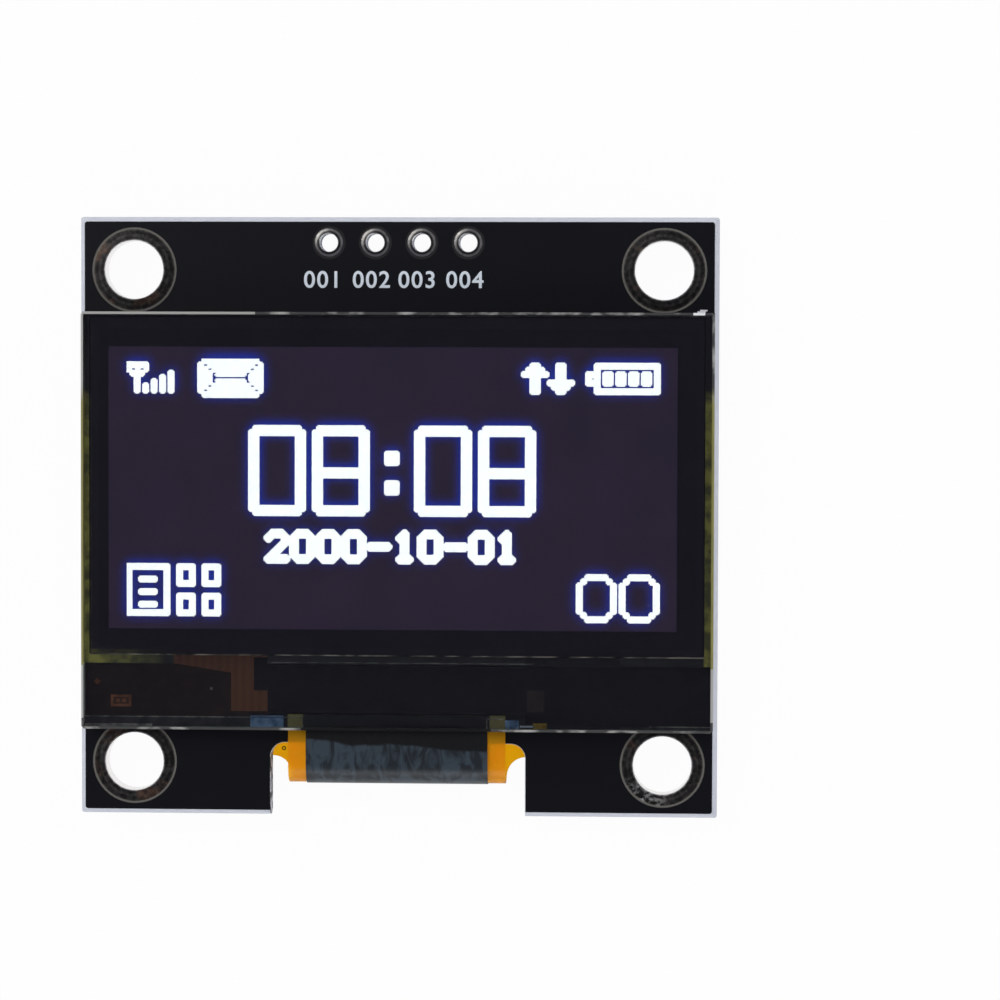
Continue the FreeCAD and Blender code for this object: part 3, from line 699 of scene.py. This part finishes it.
def rim_of(picture, column, row, width, depth):
    """Light the rim of a box of dots, and clear what is inside."""
    bars(picture, (column, row, width, depth))
    picture[row + 1:row + depth - 1, column + 1:column + width - 1] = False


signs(plain_dots, 0, 1, "#####/#.#.#/.###./..#../..#../..#../..#..")
dark_dots[2, [1, 3]] = True
bars(plain_dots, (4, 6, 1, 2), (6, 5, 1, 3), (8, 4, 1, 4), (10, 3, 1, 5))
signs(plain_dots, 93, 1, "..##../.####./######/..##../..##../..##../..##..")
signs(plain_dots, 99, 1, "..##../..##../..##../..##../######/.####./..##..")

left, right, bottom = 17, 31, 8
bars(plain_dots, (left, 0, right - left + 1, bottom + 1))
for step in range(4):
    for row in (step, bottom - step):
        plain_dots[row, [left + step, right - step]] = False
        dark_dots[row, [left + step, right - step]] = step > 0
plain_dots[4, 20:29] = False

rim_of(plain_dots, 110, 1, 15, 7)
bars(plain_dots, *[(112 + 3 * cell, 3, 2, 3) for cell in range(4)])
bars(plain_dots, (108, 3, 3, 1), (108, 4, 1, 2), (108, 5, 3, 1))
print("dots lit so far:", int(plain_dots.sum()))

# %% Clock, date and corner signs
strokes = {
    "top": (1, 0, 11, 2), "bottom": (1, 19, 11, 2), "middle": (1, 10, 11, 2),
    "left": (0, 1, 2, 19), "right": (11, 1, 2, 19),
}
digit_strokes = {"0": ("top", "bottom", "left", "right"), "8": tuple(strokes)}
clock_row, date_row = 16, 41
for column, digit in ((29, "0"), (44, "8"), (68, "0"), (83, "8")):
    for name in digit_strokes[digit]:
        across, down, width, depth = strokes[name]
        bars(plain_dots, (column + across, clock_row + down, width, depth))
bars(plain_dots, (61, 22, 3, 3), (61, 29, 3, 3))

small_signs = {
    "0": ".###./#...#/#...#/#...#/#...#/#...#/.###.",
    "1": "..#../.##../..#../..#../..#../..#../.###.",
    "2": ".###./#...#/....#/...#./..#../.#.../#####",
    "-": "...../...../...../#####/...../...../.....",
}
for number, letter in enumerate("2000-10-01"):
    signs(broad_dots, 33 + 6 * number, date_row, small_signs[letter])

rim_of(plain_dots, 0, 49, 10, 12)
bars(plain_dots, (3, 52, 4, 1), (3, 55, 4, 1), (3, 58, 4, 1))
for column in (12, 18):
    for row in (49, 56):
        rim_of(plain_dots, column, row, 4, 5)
for column in (106, 116):
    bars(plain_dots, (column, 53, 1, 7), (column + 8, 53, 1, 7))
    for row in (51, 61):
        bars(plain_dots, (column + 2, row, 5, 1))
    for row in (52, 60):
        plain_dots[row, [column + 1, column + 7]] = True
lit = plain_dots | broad_dots
print("dots lit in all:", int(lit.sum()))

# %% Lit area as a mesh
split_dot = 3
matrix_left, matrix_top = -14.785 * MM, 8.647 * MM
pitch_x, pitch_y = 0.2324 * MM, 0.2295 * MM
light_rise, glow_rise = 0.004 * MM, 0.002 * MM
dark_spot = np.array([[0, 0, 0], [0, 1, 1], [0, 0, 0]], bool)


def grown(picture, steps):
    """Split each dot in three each way, and let the lit area grow by so many steps on all four sides."""
    fine = np.kron(picture, np.ones((split_dot, split_dot), bool)).astype(bool)
    for _ in range(steps):
        wide = np.pad(fine, 1)
        fine = wide[1:-1, 1:-1] | wide[:-2, 1:-1] | wide[2:, 1:-1] | wide[1:-1, :-2] | wide[1:-1, 2:]
    return fine


shining = (grown(plain_dots, 1) | grown(broad_dots, 2)) & ~np.kron(dark_dots, dark_spot)
sheet = bmesh.new()
bmesh.ops.create_grid(sheet, x_segments=dot_columns * split_dot, y_segments=dot_rows * split_dot, size=0.5)
unlit = []
for face in sheet.faces:
    centre = face.calc_center_median()
    column = int((centre.x + 0.5) * dot_columns * split_dot)
    row = int((0.5 - centre.y) * dot_rows * split_dot)
    if not shining[row, column]:
        unlit.append(face)
bmesh.ops.delete(sheet, geom=unlit, context="FACES")
bmesh.ops.dissolve_limit(sheet, angle_limit=0.01, verts=sheet.verts, edges=sheet.edges)
matrix_low = Vector((matrix_left, matrix_top - dot_rows * pitch_y, film_top + light_rise))
matrix_high = Vector((matrix_left + dot_columns * pitch_x, matrix_top, film_top + light_rise))
fit(sheet, sheet.verts, matrix_low, matrix_high)
lit_dots = built("lit_dots", sheet)
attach(lit_dots, "root")

lit_finish, tree, shader, place = new_finish(
    "white_dot_light", Base_Color=linear("#ffffff"), Emission_Strength=3.1)
_, hue = mottle(tree, place, 0.5, 1.0, "#f2f8ff", "#ffffff")
tree.links.new(hue, shader.inputs["Emission Color"])
lit_dots.data.materials.append(lit_finish)
print("lit faces:", len(lit_dots.data.polygons))

# %% [markdown]
# Around the lit dots the film glows blue, because light travels sideways in the glass. The rest of the window
# glows a faint deep violet, a painted glow that stands for the panel's own dark violet beside the black
# border.
# A sheet over the window carries both. A number at each of its points says how much light is near, worked out
# from the dot picture with a soft blur.

# %% Glowing window
window_low = Vector((-15.78 * MM, -6.1 * MM, film_top + glow_rise))
window_high = Vector((15.25 * MM, 9.3 * MM, film_top + glow_rise))
blur_dots = 1.1
rim = 8
full_glow = 0.4


def blurred(picture, width):
    """Spread the picture's light with a bell curve, along the rows and then along the columns."""
    steps = np.arange(-rim, rim + 1)
    bell = np.exp(-0.5 * (steps / width) ** 2)
    bell /= bell.sum()
    spread = np.apply_along_axis(np.convolve, 1, picture, bell, "same")
    return np.apply_along_axis(np.convolve, 0, spread, bell, "same")


halo = blurred(np.pad(lit.astype(float), rim), blur_dots)
columns = round((window_high.x - window_low.x) / pitch_x)
rows = round((window_high.y - window_low.y) / pitch_y)
sheet = bmesh.new()
bmesh.ops.create_grid(sheet, x_segments=columns, y_segments=rows, size=0.5)
fit(sheet, sheet.verts, window_low, window_high)
window = built("glowing_window", sheet)
near_light = window.data.attributes.new("near_light", "FLOAT", "POINT")
for point, vertex in zip(near_light.data, window.data.vertices):
    column = (vertex.co.x - matrix_left) / pitch_x - 0.5 + rim
    row = (matrix_top - vertex.co.y) / pitch_y - 0.5 + rim
    column = min(max(int(round(column)), 0), halo.shape[1] - 1)
    row = min(max(int(round(row)), 0), halo.shape[0] - 1)
    point.value = float(halo[row, column])
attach(window, "root")
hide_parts("emitter_layer")

window_finish, tree, shader, place = new_finish(
    "violet_display_film", Base_Color=linear("#1a1626"), Roughness=0.5, Emission_Strength=1.0)
# The violet is a painted glow of the film itself; the blue near the dots is the halo.
_, violet_glow = mottle(tree, place, 3.5, 4.0, "#30283e", "#43304e")
near = add(tree, "Attribute", attribute_name="near_light")["Fac"]
near = add(tree, "MapRange", {"Value": near, "From Min": 0.0, "From Max": full_glow})[0]
colour = add(tree, "Mix", {0: near, 6: violet_glow, 7: linear("#2b45dd")}, data_type="RGBA")[2]
tree.links.new(colour, shader.inputs["Emission Color"])
window.data.materials.append(window_finish)
print("window sheet points:", len(window.data.vertices))

# %% [markdown]
# On the bare ledge, the underside of the glass carries a black shield over the driver chip, and small marks:
# a framed brown index, a dot and worn edges. Beside the tail are painted reflections in blue, pale blue and
# ochre, and pale lines with painted glints run along the glass's edges. Each is a flat sheet just behind the
# glass, far thinner than a hair. A painted glint also lies on the board at the glass's upper right corner. One
# piece of one colour holds all the marks of that colour.

# %% Flat marks
coat_level = film_top - 0.04 * MM
shield_level = film_top + 0.001 * MM
mark_level = film_top + 0.003 * MM
board_level = mask_top + 0.01 * MM


def flat_marks(name, level, hex_dark, hex_light, slot, *boxes, rough=0.5, shine=0.1):
    """Lay flat boxes at one level, given in mm as left, low, right, high, with one mottled colour."""
    sheet = bmesh.new()
    for left, low, right, high in boxes:
        made = bmesh.ops.create_grid(sheet, x_segments=1, y_segments=1, size=0.5)
        corners = [Vector((x * MM, y * MM, level)) for x, y in ((left, low), (right, high))]
        fit(sheet, made["verts"], *corners)
    if level < 0:
        bmesh.ops.reverse_faces(sheet, faces=sheet.faces)
    piece = built(name, sheet)
    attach(piece, "root")
    finish, tree, shader, place = new_finish(name + "_finish", Roughness=rough, Specular_IOR_Level=shine)
    cloud = patches(tree, place, 0.6, 5.0, 0.35, 0.65)
    tint = add(tree, "Mix", {0: cloud, 6: linear(hex_dark), 7: linear(hex_light)}, data_type="RGBA")[2]
    paint(tree, shader, tint)
    piece.data.materials.append(finish)
    return piece


# %% Marks behind the ledge glass
flat_marks("ledge_coat", coat_level, "#1e1413", "#281b1a", "electrode_film", (-17.1, -10.9, -7.0, -8.06))
flat_marks("chip_shield", shield_level, "#121015", "#19161b", "black_resin",
           (-7.05, -10.62, 7.05, -8.06), (-7.8, -9.46, -7.05, -7.65), (7.05, -11.3, 17.16, -8.06))
flat_marks("index_field", shield_level, "#33211a", "#452d22", "electrode_film", (-15.6, -10.33, -14.6, -9.8))
flat_marks("index_mark", mark_level, "#5a3826", "#7a4d36", "electrode_film", (-15.67, -9.88, -14.54, -9.74),
           (-15.67, -10.39, -14.54, -10.25), (-15.67, -10.25, -15.53, -9.88), (-14.68, -10.25, -14.54, -9.88),
           (-15.38, -10.15, -15.16, -9.96), (-15.04, -10.15, -14.82, -9.96),
           (-16.58, -9.1, -16.26, -8.96), (-16.49, -9.19, -16.35, -8.87))

# %% Edge lines, painted glints and painted reflections
flat_marks("edge_band", shield_level, "#242326", "#3a393d", "bonding_adhesive",
           (-17.16, -11.56, -6.12, -10.94), (11.8, -11.56, 17.16, -11.3))
# Pale lines along the glass's lower edge, the ledge and the top edge, with a painted glint box at the upper
# right corner.
flat_marks("edge_lines_and_glints", mark_level, "#3c3c3f", "#85857f", "bonding_adhesive", (-17.16, -10.96, -5.1, -10.9),
           (-5.15, -11.56, -5.09, -10.96), (4.92, -11.56, 4.98, -10.96), (4.98, -10.96, 5.82, -10.9),
           (13.8, -11.32, 17.16, -11.26), (-6.9, -7.93, 7.5, -7.9), (-5.8, 10.98, 17.1, 11.01),
           (15.9, 10.94, 16.9, 11.05), (-10.2, -9.44, -10.06, -9.3))
flat_marks("ledge_patch", mark_level, "#2a2322", "#332b29", "electrode_film", (7.13, -10.54, 8.06, -9.35))
# Painted reflections beside the tail: blue patches, and pale blue ones below them.
flat_marks("ledge_reflection_blue", mark_level, "#3c5270", "#7490b8", "bonding_adhesive",
           (-7.99, -11.46, -6.17, -10.84), (5.95, -11.46, 6.7, -11.0))
flat_marks("ledge_reflection_pale", mark_level, "#8c97a6", "#b4bcc6", "bonding_adhesive",
           (-8.3, -11.56, -6.17, -11.46), (5.95, -11.56, 6.7, -11.46), (6.75, -11.38, 7.6, -11.28))
# A painted glint on the board, just above the glass's upper right corner.
flat_marks("corner_glint", board_level, "#b4b8bc", "#f8fbff", "bonding_adhesive",
           (16.3, 11.2, 16.75, 11.3), (16.45, 11.3, 16.85, 11.38))
flat_marks("edge_worn", mark_level, "#4c4b4e", "#8a898b", "bonding_adhesive", (-17.1, -11.54, -13.4, -11.32))
# A painted ochre reflection beside the tail, at its right.
flat_marks("ledge_reflection_ochre", mark_level, "#6a5618", "#9a8230", "bonding_adhesive",
           (7.46, -11.45, 8.23, -11.15))
print("marks behind the glass and beside it: 12 pieces")

# %% [markdown]
# White print on the board is epoxy ink, screen printed, about 12 micrometres thick. Words are left off this
# part, so the pins are simply numbered. Letters could be curves, but here each is turned to a mesh at once,
# so that its place can be baked into its points like that of every other piece.

# %% Printed numbers
ink_thickness = 0.012 * MM
cap_share = 0.7


def printed(name, words, facing):
    """Print words, given as text, centre in mm and height in mm, on the front or the back of the board."""
    ink = bmesh.new()
    for text, centre_x, centre_y, height in words:
        curve = bpy.data.curves.new(name, "FONT")
        curve.body = text
        curve.size = height * MM / cap_share
        curve.extrude = ink_thickness / 2
        curve.align_x = "CENTER"
        curve.space_character = 1.12
        curve.offset = 0.018 * MM
        words_object = bpy.data.objects.new(name, curve)
        bpy.context.scene.collection.objects.link(words_object)
        bpy.context.view_layer.update()
        shaped = words_object.evaluated_get(bpy.context.evaluated_depsgraph_get())
        letters = bpy.data.meshes.new_from_object(shaped)
        bpy.data.objects.remove(words_object)
        bpy.data.curves.remove(curve)
        flip = Matrix.Rotation(math.pi, 4, "Y") if facing < 0 else Matrix.Identity(4)
        level = mask_top + ink_thickness / 2 if facing > 0 else mask_low - ink_thickness / 2
        letters.transform(Matrix.Translation((centre_x * MM, (centre_y - height / 2) * MM, level)) @ flip)
        ink.from_mesh(letters)
        bpy.data.meshes.remove(letters)
    bmesh.ops.remove_doubles(ink, verts=ink.verts, dist=0.0001 * MM)
    piece = built(name, ink)
    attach(piece, "root")
    return piece


ink_finish, *_ = cloudy_finish("white_screen_ink", 0.3, 3.0, "#d9e6ee", "#f4faff", Roughness=0.6)
label_xs, label_y, label_height = (-4.15, -1.48, 1.02, 3.63), 13.0, 0.9
pin_words = [(f"00{number + 1}", x, label_y, label_height) for number, x in enumerate(label_xs)]
front_print = printed("front_print", pin_words, 1)
front_print.data.materials.append(ink_finish)
print("front print faces:", len(front_print.data.polygons))

# %% [markdown]
# The back carries the small parts. White frames and plain numbers are printed round them, and copper tracks
# stand out a little under the black mask: three down to the tail's lands, one from each part to the runs
# between the two rows, and four at the pin holes. A print house would draw these from the circuit plan. Here
# they follow the rows of parts, which stand at one pitch.

# %% Printed frames on the back
part_pitch, lower_row, upper_row = 3.6, -3.0, 8.8
part_half, regulator_half = (0.8, 1.65), (1.72, 1.6)
line = 0.12
print_level = mask_low - ink_thickness
columns = [(number - 3) * part_pitch for number in range(7)]


def hollow(x, y, half_width, half_depth):
    """The four thin boxes of a printed frame round a point."""
    left, right, low, high = x - half_width, x + half_width, y - half_depth, y + half_depth
    return [(left, low, right, low + line), (left, high - line, right, high),
            (left, low + line, left + line, high - line), (right - line, low + line, right, high - line)]


frames = [box for x in columns for box in hollow(x, lower_row, *part_half)]
frames += [box for x in columns[:5] + columns[6:] for box in hollow(x, upper_row, *part_half)]
frames += hollow(columns[5], upper_row, *regulator_half)
flat_marks("back_frames", print_level, "#d9e6ee", "#f4faff", "legend_ink", *frames, rough=0.6)
print("printed frames:", len(frames) // 4)

# %% Tracks and numbers on the back
track, track_step = 0.28, 0.6
first_run, second_run, pin_run = 0.6, 3.4, upper_row + 2.9
to_land, to_frame, to_tail, pins_low = 1.2, 1.7, 3.0, 14.2
track_level = mask_low - 0.002 * MM
run_level = track_level - 0.002 * MM
pin_xs = (-3.81, -1.27, 1.27, 3.81)


def rise(x, low, high):
    """The box of an upright track."""
    return (x - track / 2, low, x + track / 2, high)


rises = [rise(x, lower_row - to_tail, lower_row - to_frame) for x in columns[2:5]]
rises += [rise(x, lower_row + to_land, first_run + track_step * (number % 4))
          for number, x in enumerate(columns)]
rises += [rise(x, second_run + track_step * (number % 3), upper_row - to_land)
          for number, x in enumerate(columns)]
rises += [rise(x, pin_run + drop, pins_low) for x, drop in zip(pin_xs, (0, track_step, track_step, 0))]
runs = [(columns[0] - track / 2, first_run + track_step * row, columns[6 - row] + track / 2,
         first_run + track_step * row + track) for row in range(4)]
runs += [(columns[row] - track / 2, second_run + track_step * row, columns[6] + track / 2,
          second_run + track_step * row + track) for row in range(3)]
runs += [(columns[1], pin_run, pin_xs[0], pin_run + track), (pin_xs[3], pin_run, columns[5], pin_run + track)]
for name, level, boxes in (("back_rises", track_level, rises), ("back_runs", run_level, runs)):
    flat_marks(name, level, "#15161c", "#1d1e26", "black_solder_mask", *boxes, rough=0.35, shine=0.5)

number_rise, number_height = 2.3, 0.8
places = [(x, y + number_rise) for y in (lower_row, upper_row) for x in columns]
part_words = [(str(number + 1), x, y, number_height) for number, (x, y) in enumerate(places)]
back_print = printed("back_print", part_words, -1)
back_print.data.materials.append(ink_finish)
print("tracks:", len(rises + runs), "boxes, and", len(part_words), "numbers")

# %% [markdown]
# The small parts come last. The capacitors are tan fired ceramic. The resistors are white alumina with a
# black glass coat on their outer face. Their ends and the regulator's legs are plated with tin, and the
# regulator's body is moulded epoxy filled with glass powder, which gives it a faint sparkle.

# %% Small parts on the back
ceramic_finish, *_ = cloudy_finish("tan_capacitor_ceramic", 0.3, 4.0, "#8a6a48", "#b08f68", Roughness=0.45)
wear(ceramic_finish, *[f"capacitor_{number}" for number in range(1, 7)])

coat_depth = 0.06
coat_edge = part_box("resistor_1")[0].z / MM + coat_depth
resistor_finish, tree, shader, place = new_finish("glass_coated_alumina", Roughness=0.3)
_, white = mottle(tree, place, 0.2, 3.0, "#d5d3cc", "#eeece6")
coated = between(tree, place, z=(-FAR, coat_edge))
tint = add(tree, "Mix", {0: coated, 6: white, 7: linear("#121214")}, data_type="RGBA")[2]
paint(tree, shader, tint)
wear(resistor_finish, *[f"resistor_{number}" for number in range(1, 7)])

tin_finish, tree, shader, dull = cloudy_finish(
    "matte_tin_plating", 0.15, 3.0, "#a9a9a6", "#cfcfcc", Metallic=1.0)
vary_roughness(tree, shader, dull, 0.3, 0.5)
wear(tin_finish, *[f"{kind}_{number}_ends" for kind in ("capacitor", "resistor") for number in range(1, 7)],
     "regulator_leads")

moulding_finish, tree, shader, spark = cloudy_finish(
    "moulded_black_epoxy", 0.06, 2.0, "#161617", "#28282a", Roughness=0.55)
relief(tree, shader, spark, 0.4, 0.01)
wear(moulding_finish, "regulator_body")
print("small parts finished: 13")

# %% [markdown]
# At the end the outer boxes of the solid model and of the dressed one are kept side by side.

# %% Sizes and finish
boxes = {"cad": bounds_before, "visual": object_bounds()}
